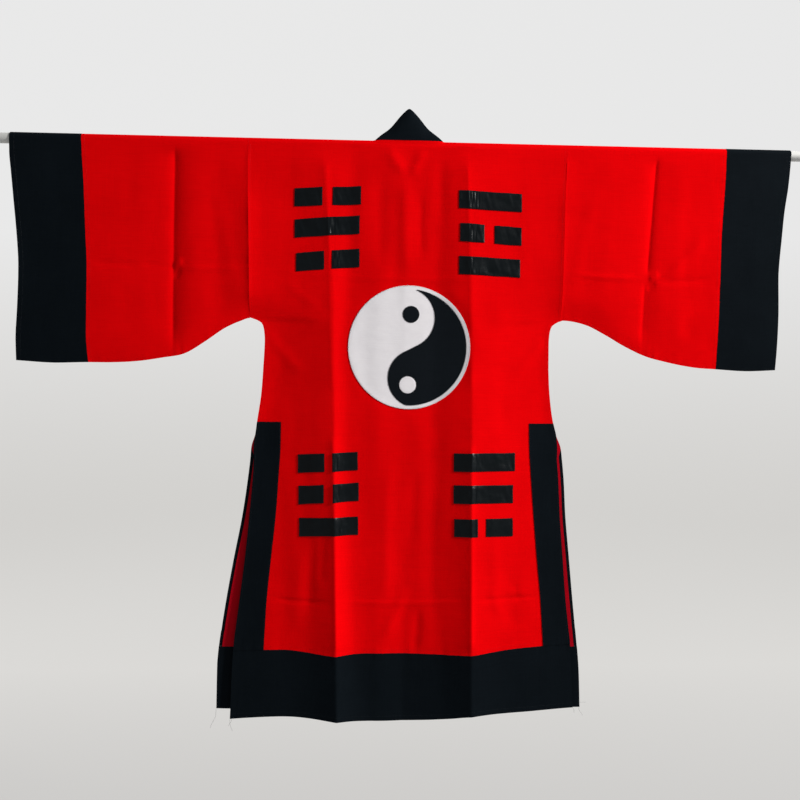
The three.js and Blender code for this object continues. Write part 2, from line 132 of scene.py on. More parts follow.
# Half widths of the body, from the shoulder down to the hem
SIDE_ROWS = [
    [-14, 388, 388], [130, 387, 383], [275, 384, 380], [421, 382, 375], [428, 359, 360],
    [440, 350, 352], [470, 346, 348], [540, 349, 348], [610, 354, 352], [672, 363, 361],
    [700, 366.5, 368],
]
BACK_SIDES = table("down left right", SIDE_ROWS + [
    [731, 371, 371], [760, 370, 370.5], [800, 371.5, 373.5], [900, 379.5, 378.5], [1000, 389, 386],
    [1100, 401, 393.5], [1200, 413, 404], [1390, 422, 414],
])
FRONT_SIDES = table("down left right", SIDE_ROWS + [
    [731, 376, 380], [760, 378.5, 384], [800, 383, 388], [900, 397, 394], [1000, 416, 403.5],
    [1100, 433.5, 413], [1200, 448, 423], [1270, 454.5, 429.5], [1390, 456, 434],
])
# Distances from the middle of the inner edges of the back's slit borders
BACK_BORDERS = table("down left right", [
    [0, 325, 322], [440, 305, 302], [672, 305, 300], [731, 305.5, 301], [800, 309.5, 305.5],
    [900, 316, 313], [1000, 326, 321.5], [1100, 335.5, 331], [1230, 342, 338.5], [1390, 350, 346],
])
# Depths of the hem bands' seam and lower edge
BACK_HEM = table("x seam bottom", [
    [-422, 1224, 1388], [-290, 1221, 1381], [-172, 1232, 1388], [-100, 1230, 1393],
    [0, 1231, 1394], [110, 1233, 1387], [158, 1232, 1379], [260, 1222, 1377], [415, 1213, 1369],
])
FRONT_HEM = table("x seam bottom", [
    [-456, 1216, 1366], [-300, 1220, 1372], [0, 1226, 1376], [300, 1224, 1373], [434, 1222, 1372],
])
# Distances from the middle of the cuffs' seam and open edge
CUFFS = table("down seam_left seam_right edge_left edge_right", [
    [-14, 783, 787, 950, 951], [40, 780, 785, 949, 947], [80, 777, 783, 945, 943],
    [140, 774, 779, 939, 934], [210, 771, 775, 932, 927], [300, 767, 773, 926, 920],
    [400, 768, 771, 929, 922], [480, 769, 769, 934, 921], [532, 765, 768, 934, 919],
])
# Depths of the sleeves' lower edge at distances from the middle
UNDERSIDE = table("out left right", [
    [375, 421, 421], [382, 421, 418], [406, 429, 420], [442, 446, 429], [488, 478, 452],
    [537, 508, 480], [590, 519, 504], [640, 527, 517], [720, 532, 531], [770, 532, 534],
    [845, 534, 538], [935, 529, 534],
])

# Long folds: x at the shoulder, chest and hem, height at the shoulder and hem, and reach to both sides
BACK_FOLDS = [
    (-212, -182, -165, 4, 25, 130, 84), (-20, -8, -6, 3, -4, 110, 110),
    (140, 155, 159, 4, 22, 112, 120),
]
FRONT_FOLDS = [(-205, -215, -235, 3, 10, 110, 110), (205, 210, 228, 3, 8, 105, 105)]
SLEEVE_FOLDS = [(-562, -564, -566, -3, -3, 80, 80), (613, 592, 580, -3, -3, 80, 80)]

# Creases of a layer: the two ends as x and down, the height, and the width of each side
BACK_CREASES = [
    (-55, 5, -8, 75, 2.2, 13), (38, 5, 4, 78, 2.2, 12), (-3, 60, -3, 330, 2.4, 17),
    (-60, 35, -64, 320, -2.6, 20), (31, 100, 35, 290, -1.6, 9), (78, 20, 84, 210, -1.4, 15),
    (-110, 60, -118, 330, 1.2, 16), (-380, 305, 385, 312, 0.9, 7), (-36, 700, -42, 1180, 2.0, 16),
    (-126, -160, -108, 1560, -3.4, 26), (-36, -220, -38, 1620, 3.0, 34), (98, -180, 106, 1600, -2.4, 26),
    (150, -400, 160, 1790, 6.0, 110), (28, 760, 12, 1010, -1.6, 16), (-62, 1210, 4, 1060, 2.8, 15),
    (-290, 620, -282, 1330, -2.0, 34), (-308, 330, -302, 700, -0.9, 24), (-236, 640, -230, 1330, -1.8, 24),
    (20, 1240, 30, 1110, -2.6, 11), (92, 760, 88, 1190, 1.2, 15), (-330, 1098, -172, 1103, -1.8, 6),
    (-172, 1103, 158, 1102, 1.5, 5), (158, 1098, 344, 1092, -1.5, 6), (-250, 960, -262, 1190, 1.6, 18),
    (205, 1062, 232, 1150, 1.3, 9), (262, 1050, 282, 1120, -1.1, 8), (236, 1075, 300, 1088, 0.9, 7),
    (-222, 930, -232, 1150, -2, 14), (-196, 920, -200, 1080, -1.2, 8), (250, 1010, 262, 1190, -1.6, 18),
    (216, 930, 222, 1120, 1.2, 14), (-300, 560, -285, 900, 1.2, 22), (230, 470, 238, 720, -1.6, 24),
    (-345, 450, -250, 560, 1.2, 12), (345, 455, 262, 560, 1.2, 12), (-300, 330, -214, 400, 0.9, 10),
]
FRONT_CREASES = [
    (-150, 60, -165, 420, 1.6, 18), (160, 40, 172, 460, 1.6, 18), (-300, 500, -292, 1000, -1.8, 24),
    (310, 520, 300, 960, -1.6, 24), (-380, 308, -90, 304, 0.7, 6), (90, 304, 380, 310, 0.7, 6),
    (-400, 1102, -90, 1100, 0.8, 6), (90, 1102, 400, 1098, -0.8, 6), (-345, 450, -262, 545, 1.2, 12),
    (345, 455, 266, 540, 1.2, 12), (-130, 800, -122, 1200, 1.4, 16), (128, 860, 134, 1210, -1.4, 16),
]
# Pressed folds: the two ends, the height, and the widths of the left and the right flank. The back has its
# left and right fold in turn, first below the chest and then above it.
BACK_PRESSED = [
    (-180, 700, -167, 1228, 2.2, 9, 7), (155, 720, 158, 1228, 3.0, 26, 6), (-200, 40, -182, 600, 0.9, 8, 6),
    (142, 40, 155, 600, 0.8, 9, 6),
]
FRONT_PRESSED = [(-214, 60, -233, 1200, 1.4, 9, 8), (208, 60, 226, 1200, 1.4, 8, 9)]
SLEEVE_PRESSED = [
    (-562, 14, -566, 540, -4.2, 11, 15), (612, 14, 590, 308, -3.0, 9, 5), (585, 318, 578, 520, -2.6, 6, 9),
]
SLEEVE_CREASES = [
    (-765, 293, -640, 296, -1.7, 6), (-640, 296, -566, 300, -1.2, 5), (-560, 303, -385, 302, 1.7, 5),
    (-566, 300, -540, 285, 2.4, 7), (-562, 330, -545, 305, -2.0, 7), (390, 304, 590, 312, 1.9, 6),
    (592, 316, 620, 300, 2.4, 7), (600, 318, 765, 312, -1.7, 7), (590, 340, 612, 322, -2.0, 7),
    (-470, 60, -398, 400, 0.9, 16), (470, 70, 396, 395, 0.9, 16), (745, 205, 635, 315, 1.8, 14),
    (-520, -60, -512, 600, 2.6, 42), (735, 330, 690, 480, -1.5, 24), (-455, -40, -440, 560, -1.2, 26),
    (-690, 40, -700, 500, 0.8, 22), (700, 40, 690, 500, -0.8, 22),
]


def noise(x, y, cell_x, cell_y, seed):
    """Smooth uneven heights from -1 to 1: random heights on a lattice, blended by smooth weights."""
    heights = np.random.default_rng(seed).uniform(-1, 1, (64, 64))
    u, v = x / cell_x, y / cell_y
    i, j = np.floor(u).astype(int), np.floor(v).astype(int)
    s, t = smooth(u - i), smooth(v - j)
    corner = lambda a, b: heights[(i + a) % 64, (j + b) % 64]
    return mix(mix(corner(0, 0), corner(1, 0), s), mix(corner(0, 1), corner(1, 1), s), t)


def fold_x(fold, down):
    """Where a long fold's crest is: straight from the shoulder to the chest, and from there to the hem."""
    shoulder, chest, hem = fold[:3]
    return np.where(down < CHEST, mix(shoulder, chest, np.clip(down / CHEST, 0, 1)),
                    mix(chest, hem, np.clip((down - CHEST) / (LENGTH - CHEST), 0, 1)))


def long_folds(folds, x, down):
    """Height of the long folds: the square of what is left of each fold's reach, with a crest rounded over
    2 mm, and higher with the power 1.4 of the depth."""
    total = np.zeros(np.broadcast(x, down).shape)
    for fold in folds:
        top, foot_height, left, right = fold[3:]
        beside = x - fold_x(fold, down)
        away = np.hypot(beside, 2) - 2
        height = mix(top, foot_height, (np.maximum(down, 0) / LENGTH) ** 1.4)
        total += height * np.clip(1 - away / np.where(beside < 0, left, right), 0, 1) ** 2
    return total * smooth(down / 60)


def creases(rows, x, down):
    """Height of the creases: a bell across each one's line, fading over its last third at both ends."""
    total = np.zeros(np.broadcast(x, down).shape)
    for x0, down0, x1, down1, height, width in rows:
        run = math.hypot(x1 - x0, down1 - down0)
        cx, cd = (x1 - x0) / run, (down1 - down0) / run
        t = ((x - x0) * cx + (down - down0) * cd) / run
        bow = 0.02 * run * np.sin(np.pi * np.clip(t, 0, 1))
        away = (x - x0) * cd - (down - down0) * cx + bow
        total += height * np.exp(-(away / width) ** 2) * smooth(t / 0.3) * smooth((1 - t) / 0.3)
    return total


def pressed(rows, x, down):
    """Height of the pressed folds: a sharp crest or groove along each line, its flanks dying out evenly."""
    total = np.zeros(np.broadcast(x, down).shape)
    for x0, down0, x1, down1, height, left, right in rows:
        away = x - mix(x0, x1, (down - down0) / (down1 - down0))
        width = np.where(away < 0, left, right)
        ends = smooth((down - down0) / 25) * smooth((down1 - down) / 25)
        total += height * np.exp(-(np.hypot(away, 1) - 1) / width) * ends
    return total


def uneven(x, down, seed):
    """The cloth's own unevenness: long soft drops, and small dents between them."""
    long_drops = noise(x, down, 70, 420, seed) + 0.5 * noise(x, down, 32, 260, seed + 1)
    dents = noise(x, down, 45, 60, seed + 2) + 0.5 * noise(x, down, 19, 24, seed + 3)
    return (0.8 * long_drops + 0.35 * dents) * smooth(down / 50)


def pucker(away, run, size, seed):
    """Small waves along a seam, dying out over 14 mm on each side of it."""
    waves = noise(run, away * 0 + 3, 9, 9, seed) + 0.6 * noise(run, away * 0 + 5, 4.5, 9, seed + 1)
    return size * waves * np.exp(-np.abs(away) / 14)


def armhole_rise(down):
    """Beside the armhole the cloth stands nearly as far out as over the rod, until close to the underarm."""
    part = np.clip(down / ARMHOLE, 0, 1)
    return (WRAP - PRESSED) * (part ** 5 - part ** 10)


def armhole_ridge(away, x, down):
    """The seam allowance at the armhole holds the cloth up: a ridge that grows with depth and dies out
    evenly, with a thin crest on the seam itself and a bell near the underarm. away is the distance inside
    the body's edge."""
    reach = np.where((away < 0) | (x < 0), 30, 20)
    height = np.where(x < 0, 5.0, 1.8) * smooth((down - 20) / 170)
    near = np.exp(-(away / np.where(away < 0, 110, 60)) ** 2) * armhole_rise(down)
    thin = np.where(x < 0, 1.0, 0.5) * np.exp(-np.abs(away) / 6)
    return (thin + height * np.exp(-np.abs(away) / reach)) * smooth(down / 40) + near


def fold_rise(x):
    """How far the collar's folded edge stands over the rod: 45 degrees, blunt at the top, and pinched by a
    bell 46 mm from the middle."""
    away = np.abs(x)
    return np.maximum(0, BAND - np.hypot(x, 4) + 1 - 6.5 * np.exp(-((away - 46) / 19) ** 2))


def over_rod(x, z):
    """Distance from the mid-plane above the rod's axis: a quarter circle round the rod beside the neck,
    and in the neck a flatter curve up to the collar's folded edge."""
    rise = fold_rise(x)
    edge = mix(SEAM / 2, PRESSED, smooth(rise / 20))
    power = mix(0.5, 1, smooth(rise / 40))
    return edge + (WRAP - edge) * np.maximum(0, 1 - (z / (WRAP + rise)) ** 2) ** power


def clear_of_rod(hung, down):
    """A depth kept outside the rod beside it, and off the mid-plane below it."""
    rod = np.sqrt(np.maximum(0, (WRAP - 0.1) ** 2 - down ** 2))
    return np.maximum(hung, np.maximum(rod, PRESSED))


def sleeve_shape(part):
    """A sleeve's depth at a part of its height: full at the rod, closing with the part's fifth power."""
    return mix(PRESSED, WRAP, 1 - np.clip(part, 0, 1) ** 5)


def by_side(rows, key, x, value, start=""):
    """A table's left or right column at a value of its key, by the side on which x lies."""
    return np.where(x < 0, along(rows, key, start + "left", value), along(rows, key, start + "right", value))


def body(facing, x, z):
    """A body layer's distance from the mid-plane at any x and height: its side edge's depth, blended up to
    the rod's, with folds, creases, unevenness and puckered seams added. The disc's stiff cloth evens the
    creases out."""
    folds, rows, sharp, sides, seed = (
        (BACK_FOLDS, BACK_CREASES, BACK_PRESSED, BACK_SIDES, 11) if facing < 0
        else (FRONT_FOLDS, FRONT_CREASES, FRONT_PRESSED, FRONT_SIDES, 31))
    down = -z
    inside = by_side(sides, "down", x, down) - np.abs(x)
    side = np.where(down < ARMHOLE, sleeve_shape(down / ARMHOLE),
                    mix(PRESSED, SLIT_PART, np.clip((down - SLIT_TOP) / (LENGTH - SLIT_TOP), 0, 1)))
    hung = mix(side, WRAP, smooth(inside / SIDE_BLEND)) + long_folds(folds, x, down)
    free = smooth(inside / CALM_EDGE)
    from_disc = np.hypot(x - DISC_X, z - DISC_Z) - DISC_RADIUS
    stiff = STIFF * smooth((25 - from_disc) / 45) if facing < 0 else 0
    lines = (creases(rows, x, down) + pressed(sharp, x, down)) * free
    hung = hung + (lines + uneven(x, down, seed) * mix(0.35, 1, free)) * (1 - stiff)
    hem = BACK_HEM if facing < 0 else FRONT_HEM
    hung = hung + pucker(down - along(hem, "x", "seam", x), x, 0.7, seed + 5)
    armhole = np.where(down < ARMHOLE, inside, FAR)
    hung = hung + pucker(armhole, down, 0.4, seed + 7)
    hung = hung + armhole_ridge(armhole, x, down) * smooth((1 - down / ARMHOLE) / 0.15)
    inner = by_side(BACK_BORDERS, "down", x, down) - np.abs(x) if facing < 0 else inside - BORDER
    border = np.where(down > BORDER_TOP, inner, FAR)
    hung = hung + pucker(border, down, 0.5, seed + 9)
    return np.where(z > 0, over_rod(x, np.maximum(z, 0)), clear_of_rod(hung, down))


def foot(x):
    """Depth of a sleeve's lower edge at any x."""
    return by_side(UNDERSIDE, "out", x, np.abs(x))


def arm(facing, x, z):
    """A sleeve's or cuff's distance from the mid-plane at any x and height: its closing shape, with folds,
    creases, unevenness and puckered seams added. The folds and creases die out at its lower edge."""
    down = -z
    part = down / foot(x)
    from_cuff = np.abs(x) - by_side(CUFFS, "down", x, down, "seam_")
    seed = 51 if facing < 0 else 71
    open_part = smooth((1 - part) / 0.15)
    armhole = np.maximum(0, np.abs(x) - by_side(BACK_SIDES, "down", x, np.minimum(down, ARMHOLE)))
    hung = sleeve_shape(part) + long_folds(SLEEVE_FOLDS, x, down) * open_part
    lines = creases(SLEEVE_CREASES, x, down) + pressed(SLEEVE_PRESSED, x, down)
    hung = hung + (lines + uneven(x, down, seed)) * open_part
    hung = hung + pucker(from_cuff, down, 0.6, seed + 5)
    hung = hung + pucker((1 - part) * 400, x, 0.5, seed + 7) * smooth(part)
    hung = hung + armhole_ridge(-armhole, x, down) * open_part
    return np.where(z > 0, over_rod(x, np.maximum(z, 0)), clear_of_rod(hung, down))


def spread(stops, counts):
    """Columns between stops, each stop a column of x values by row, with a count of steps from one stop to
    the next."""
    parts = [mix(a[:, None], b[:, None], np.arange(n) / n) for a, b, n in zip(stops, stops[1:], counts)]
    return np.concatenate(parts + [stops[-1][:, None]], axis=1)


def shell(name, points, outwards, thickness, looks):
    """A closed wall round a grid of points in millimetres: the grid moved out and in along its own
    directions by half the thickness, with a strip round its rim. looks are its outer and inner finish."""
    rows, columns = points.shape[:2]
    normals = np.cross(np.gradient(points, axis=1), np.gradient(points, axis=0))
    normals /= np.linalg.norm(normals, axis=2, keepdims=True) + 1e-9
    turned = normals[0, columns // 2] @ np.array(outwards, float) < 0
    if turned:
        normals = -normals
    half = normals * thickness / 2
    places = np.concatenate([(points + half).reshape(-1, 3), (points - half).reshape(-1, 3)]) * MM
    index = np.arange(rows * columns).reshape(rows, columns)
    a, b, c, d = index[:-1, :-1], index[:-1, 1:], index[1:, 1:], index[1:, :-1]
    outer = np.stack([a, b, c, d], axis=2).reshape(-1, 4)
    if turned:
        outer = outer[:, ::-1]
    inner = outer[:, ::-1] + rows * columns
    ring = np.concatenate([index[0, :-1], index[:-1, -1], index[-1, :0:-1], index[:0:-1, 0]])
    after = np.roll(ring, -1)
    rim = np.stack([after, ring, ring + rows * columns, after + rows * columns], axis=1)
    if turned:
        rim = rim[:, ::-1]
    faces = np.concatenate([outer, rim, inner])
    return piece(name, places, faces, looks, inside_from=len(outer) + len(rim))


def piece(name, places, faces, looks, inside_from=None):
    """A mesh object in metres, riding on the robe, with its outer finish and its inner one."""
    mesh = bpy.data.meshes.new(name)
    corners = faces.shape[1]
    mesh.vertices.add(len(places))
    mesh.vertices.foreach_set("co", np.ascontiguousarray(places, np.float32).ravel())
    mesh.loops.add(faces.size)
    mesh.loops.foreach_set("vertex_index", np.ascontiguousarray(faces, np.int32).ravel())
    mesh.polygons.add(len(faces))
    mesh.polygons.foreach_set("loop_start", np.arange(len(faces), dtype=np.int32) * corners)
    for look in looks:
        mesh.materials.append(look)
    if inside_from is not None and len(looks) > 1:
        index = np.zeros(len(faces), np.int32)
        index[inside_from:] = 1
        mesh.polygons.foreach_set("material_index", index)
    mesh.update(calc_edges=True)
    mesh.validate()
    mesh.polygons.foreach_set("use_smooth", np.ones(len(mesh.polygons), bool))
    mesh.set_sharp_from_angle(angle=math.radians(50))
    made = bpy.data.objects.new(name, mesh)
    bpy.context.scene.collection.objects.link(made)
    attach(made, "root")
    return made


def placed(facing, depth, x, z, out=0.0):
    """Points of a layer at x and height, moved out from it on the side that it faces."""
    return np.stack([x, facing * (depth(facing, x, z) + out), z], axis=2)


class Socket:
    """A number in a material, whose arithmetic adds Math nodes."""

    def __init__(self, finish, socket):
        self.finish, self.socket = finish, socket

    def math(self, operation, *values):
        return self.finish.value("ShaderNodeMath", {"operation": operation}, *values)

    def __add__(self, other):
        return self.math("ADD", self, other)

    def __sub__(self, other):
        return self.math("SUBTRACT", self, other)

    def __rsub__(self, other):
        return self.math("SUBTRACT", other, self)

    def __mul__(self, other):
        return self.math("MULTIPLY", self, other)

    __radd__ = __add__
    __rmul__ = __mul__


class Finish:
    """A material built from nodes."""

    def __init__(self, name):
        self.material = bpy.data.materials.new(name)
        self.material.use_nodes = True
        self.tree = self.material.node_tree
        self.tree.nodes.clear()
        self.coordinates = self.node("ShaderNodeTexCoord").outputs["Object"]

    def node(self, kind, settings=None, inputs=None):
        """Any node: its type, its settings, and the values or links of its sockets."""
        made = self.tree.nodes.new(kind)
        for name, value in (settings or {}).items():
            setattr(made, name, value)
        for name, value in (inputs or {}).items():
            value = value.socket if isinstance(value, Socket) else value
            if isinstance(value, bpy.types.NodeSocket):
                self.tree.links.new(value, made.inputs[name])
            else:
                made.inputs[name].default_value = value
        return made

    def value(self, kind, settings, *values):
        """A node's first output as a number, its inputs filled in order."""
        made = self.node(kind, settings, dict(enumerate(values)))
        return Socket(self, made.outputs[0])

    def grain(self, size, detail=3.0, roughness=0.5):
        """Noise from 0 to 1, its cells stretched by size, three lengths in metres."""
        mapping = self.node("ShaderNodeMapping", {"vector_type": "POINT"},
                            {"Vector": self.coordinates, "Scale": [1 / length for length in size]})
        made = self.node("ShaderNodeTexNoise", {"noise_dimensions": "3D"},
                         {"Vector": mapping.outputs[0], "Scale": 1.0, "Detail": detail,
                          "Roughness": roughness})
        return Socket(self, made.outputs["Fac"])

    def waves(self, direction, pitch):
        """Slightly wavering bands across one direction, from 0 to 1, a pitch in metres apart."""
        made = self.node("ShaderNodeTexWave", {"wave_type": "BANDS", "bands_direction": direction},
                         {"Vector": self.coordinates, "Scale": 0.314 / pitch, "Distortion": 0.6,
                          "Detail": 1.0, "Detail Scale": 0.4})
        return Socket(self, made.outputs["Fac"])

    def clamped(self, value):
        """The value kept between 0 and 1."""
        return self.value("ShaderNodeClamp", {}, value)

    def blend(self, factor, first, second):
        """A colour between two."""
        made = self.node("ShaderNodeMix", {"data_type": "RGBA"}, {0: factor, 6: first, 7: second})
        return made.outputs[2]

    def shade(self, inputs):
        """The shader with its inputs, as the material's surface."""
        shader = self.node("ShaderNodeBsdfPrincipled", inputs=inputs)
        self.node("ShaderNodeOutputMaterial", inputs={"Surface": shader.outputs[0]})
        return self.material

    def finish(self, colour, roughness, height, depth, specular=0.5):
        """A surface whose height, from 0 to 1, is raised by a depth in metres."""
        bump = self.node("ShaderNodeBump", inputs={"Height": height, "Distance": depth, "Strength": 1.0})
        return self.shade({"Base Color": colour, "Roughness": roughness, "Specular IOR Level": specular,
                           "Normal": bump.outputs[0]})


def woven(name, light, dark, roughness, slub, specular):
    """Plain weave: threads both ways, with thicker slubs along X and a faint uneven dye."""
    cloth = Finish(name)
    slubs = cloth.grain((0.05, 0.05, 0.0012), detail=2.0)
    drops = cloth.grain((0.0015, 0.0015, 0.06), detail=2.0)
    weave = cloth.waves("Z", 0.0011) * 0.5 + cloth.waves("X", 0.0011) * 0.5
    dye = cloth.grain((0.18, 0.18, 0.12), detail=3.0)
    tone = slubs * slub + drops * (0.8 - slub) + dye * 0.5 + weave * 0.1
    shade = cloth.blend(cloth.clamped(tone * 1.5 - 0.75), dark, light)
    height = slubs * 0.6 + drops * 0.3 + weave * 0.5
    return cloth.finish(shade, roughness, height, 0.00035, specular)


def satin(name, light, dark, roughness, sheen_and_mottle, specular):
    """Satin weave: a smooth face of long floating threads, with a soft sheen that clouds a little. The
    clouds also blend a lighter and a darker colour into it, as painted sheen.
    """
    cloth = Finish(name)
    clouds = cloth.grain((0.035, 0.035, 0.02), detail=4.0, roughness=0.6)
    floats = cloth.grain((0.03, 0.03, 0.0007), detail=1.0)
    # Painted sheen: the clouds blend the dark colour towards the light one, on top of the sheen that the
    # roughness gives.
    shade = cloth.blend(cloth.clamped(clouds * sheen_and_mottle + floats * (1 - sheen_and_mottle)), dark, light)
    dullness = clouds * 0.25 + roughness
    return cloth.finish(shade, dullness, clouds * 0.7 + floats * 0.3, 0.0006, specular)


RED = woven("red cotton", (0.90, 0.0012, 0.003, 1), (0.72, 0.0006, 0.002, 1),
            roughness=0.8, slub=0.5, specular=0.0)
# The wrong side's colour is partly the cloth's duller back and partly painted shade: it is darkened to the
# shaded look of the inner faces seen through the slits.
RED_WRONG_SHADED = woven("red cotton, wrong side with painted shade", (0.50, 0.003, 0.012, 1), (0.38, 0.002, 0.009, 1),
                  roughness=0.85, slub=0.4, specular=0.0)
BLACK = woven("black cotton", (0.0055, 0.0085, 0.0115, 1), (0.0032, 0.0050, 0.0070, 1),
              roughness=0.85, slub=0.4, specular=0.02)
# The black satin's light colour is painted sheen, and the white satin's mottle paints sheen the same way.
SATIN = satin("black satin", (0.0028, 0.0056, 0.0072, 1), (0.0006, 0.0016, 0.0022, 1),
              roughness=0.21, sheen_and_mottle=0.5, specular=0.17)
DISC_CLOTH = woven("black cloth of the disc", (0.009, 0.012, 0.0155, 1), (0.006, 0.008, 0.0105, 1),
                   roughness=0.85, slub=0.4, specular=0.02)
WHITE = satin("white satin", (0.90, 0.87, 0.89, 1), (0.78, 0.75, 0.78, 1),
              roughness=0.5, sheen_and_mottle=0.8, specular=0.2)


def thread(name, light, dark):
    """Twisted cotton thread: fine bands of light and shade along its length."""
    twist = Finish(name)
    bands = twist.grain((0.0006, 0.0006, 0.0006), detail=1.0)
    return twist.finish(twist.blend(bands, dark, light), 0.6, bands, 0.00008, 0.12)


RED_THREAD = thread("red thread", (0.62, 0.002, 0.004, 1), (0.36, 0.001, 0.002, 1))
BLACK_THREAD = thread("black thread", (0.016, 0.021, 0.026, 1), (0.006, 0.008, 0.011, 1))
WHITE_THREAD = thread("white thread", (0.80, 0.79, 0.81, 1), (0.60, 0.59, 0.62, 1))
PAINT = Finish("painted rod")
ROD_LOOK = PAINT.finish((0.62, 0.62, 0.60, 1), PAINT.grain((0.2, 0.01, 0.01)) * 0.2 + 0.3,
                        PAINT.grain((0.004, 0.004, 0.004)), 0.00005)


def replace(made, *nodes):
    """The piece, shown in place of the frame's own nodes."""
    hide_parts(*nodes)
    return made


# Heights of a body layer's rows over the rod, and the depths where pressed creases need more rows
WRAP_HEIGHTS = WRAP * np.sin(np.radians(np.linspace(90, 0, 8)))[:-1]
CREASE_ROWS = np.array([300, 304, 308, 1094, 1097, 1100, 1103])


def panel_grid(facing, columns_at, out=0.0, top=None):
    """A body layer's grid, from over the rod, or from a depth, down to the hem's seam. columns_at gives each
    row's x values from its depth, and the last rows bend into the seam's curve."""
    first = top or 0
    depths = np.union1d(np.arange(first, EVEN_END, STEP), first + CREASE_ROWS)
    depths = depths[depths < EVEN_END]
    share = np.linspace(0, 1, 10)[1:]
    wrap = WRAP_HEIGHTS if top is None else np.zeros(0)
    levels = np.concatenate([-wrap, depths, mix(EVEN_END, HEM_TOP, share)])
    x = columns_at(levels)
    down = np.broadcast_to(levels[:, None], x.shape).copy()
    seam = along(BACK_HEM if facing < 0 else FRONT_HEM, "x", "seam", x[-len(share):])
    down[-len(share):] = mix(depths[-1], seam, share[:, None])
    return placed(facing, body, x, -down, out)


def hem_grid(facing, columns_at):
    """A hem band's grid, from its seam down to its lower edge."""
    hem = BACK_HEM if facing < 0 else FRONT_HEM
    share = np.linspace(0, 1, 26)
    x = columns_at(mix(HEM_TOP, HEM_FOOT, share))
    down = mix(along(hem, "x", "seam", x), along(hem, "x", "bottom", x), share[:, None])
    return placed(facing, body, x, -down)


def back_columns(turned):
    """Columns of the back: from edge to edge, with a column on each long fold. The red cloth's edges are
    turned in below the slits' tops."""
    def columns(levels):
        inset = TURN_IN * smooth((levels - SLIT_TOP) / 25) if turned else 0
        left = -along(BACK_SIDES, "down", "left", levels) + inset
        right = along(BACK_SIDES, "down", "right", levels) - inset
        a, b = (fold_x(fold, np.maximum(levels, 0)) for fold in (BACK_FOLDS[0], BACK_FOLDS[2]))
        return spread([left, left + 12, a - 15, a, a + 15, b - 15, b, b + 15, right - 12, right],
                      [5, 26, 6, 6, 50, 6, 6, 28, 5])
    return columns


def make_back():
    """The red back panel and its black hem band."""
    back = shell("back_of_robe", panel_grid(-1, back_columns(True)), (0, 0, 1), THIN,
                 [RED, RED_WRONG_SHADED])
    hem = shell("hem_of_back", hem_grid(-1, back_columns(False)), (0, -1, 0), DOUBLE, [BLACK])
    return replace(back, "back_panel"), replace(hem, "hem_back")


def border_edges(facing, name, down):
    """Distances from the middle of a slit border's outer and inner edge."""
    if facing < 0:
        return along(BACK_SIDES, "down", name, down), along(BACK_BORDERS, "down", name, down)
    edge = along(FRONT_SIDES, "down", name, down)
    return edge, edge - BORDER


def make_border(facing, hand):
    """A border along a slit, from the panel's edge to the border's own inner edge."""
    side, name = "back" if facing < 0 else "front", hand_name(hand)
    columns = lambda levels: spread([hand * edge for edge in border_edges(facing, name, levels)], [14])
    grid = panel_grid(facing, columns, LAID, BORDER_TOP)
    made = shell(f"slit_border_{side}_{name}", grid, (0, facing, 0), THIN, [BLACK])
    return replace(made, f"slit_{side}_{name}")


def front_columns(hand, turned):
    """Columns of a front: from its side edge to the collar band, with a column on its long fold."""
    fold, near = FRONT_FOLDS[0 if hand < 0 else 1], hand * 12

    def columns(levels):
        inset = TURN_IN * smooth((levels - SLIT_TOP) / 25) if turned else 0
        edge = hand * (along(FRONT_SIDES, "down", hand_name(hand), levels) - inset)
        inner = np.full_like(levels, hand * BAND)
        crest = fold_x(fold, np.maximum(levels, 0))
        return spread([edge, edge - near, crest + near, crest, crest - near, inner], [4, 24, 4, 4, 18])
    return columns


def make_front(hand):
    """A red front and its black hem band."""
    name = hand_name(hand)
    panel = shell(f"front_of_robe_{name}", panel_grid(1, front_columns(hand, True)), (0, 0, 1), THIN,
                  [RED, RED_WRONG_SHADED])
    hem = shell(f"hem_of_front_{name}", hem_grid(1, front_columns(hand, False)), (0, 1, 0), DOUBLE,
                [BLACK])
    return replace(panel, f"front_{name}"), replace(hem, f"hem_front_{name}")


def make_band(hand):
    """The collar band down a front: from its fold beside the neck, over the rod and down to the hem."""
    name = hand_name(hand)
    across = np.linspace(BAND, FRONT_GAP, 15)
    heights = np.sin(np.radians(np.linspace(90, 0, 14)))[:-1, None] * (WRAP + fold_rise(across))
    depths = np.arange(0, LENGTH, STEP)[:-1, None]
    x = hand * across
    bottom = along(FRONT_HEM, "x", "bottom", x)
    z = np.concatenate([heights, -depths * bottom / (LENGTH - STEP), -bottom[None]])
    x = np.broadcast_to(x, z.shape)
    grid = placed(1, body, x, z, BAND_OUT)
    made = shell(f"collar_band_{name}", grid, (0, 1, 0), DOUBLE, [BLACK])
    return replace(made, f"collar_{name}")


def make_back_collar():
    """The collar band across the back neck: a triangle between its two folded edges."""
    x = np.linspace(-BAND + 1.5, BAND - 1.5, 41)[None]
    t = np.linspace(0, 1, 16)[:, None]
    top, base = WRAP + fold_rise(x), WRAP - 0.2
    z = mix(top, base, t)
    x = np.broadcast_to(x, z.shape)
    y = -over_rod(x, z) - BAND_OUT - 0.5 * noise(x, z, 22, 30, 5) * smooth(1 - np.abs(z - base) / 80)
    made = shell("collar_band_back", np.stack([x, y, z], axis=2), (0, -1, 0), DOUBLE, [BLACK])
    return replace(made, "collar_back")


def columns_between(stops, counts, down):
    """x of every point of a grid, its columns spread between stops that are functions of the depth."""
    parts, start = [], 0
    for first, last, count in zip(stops, stops[1:], counts):
        own = down[:, start:start + count]
        parts.append(mix(first(own), last(own), np.arange(count) / count))
        start += count
    return np.concatenate(parts + [stops[-1](down[:, start:])], axis=1)


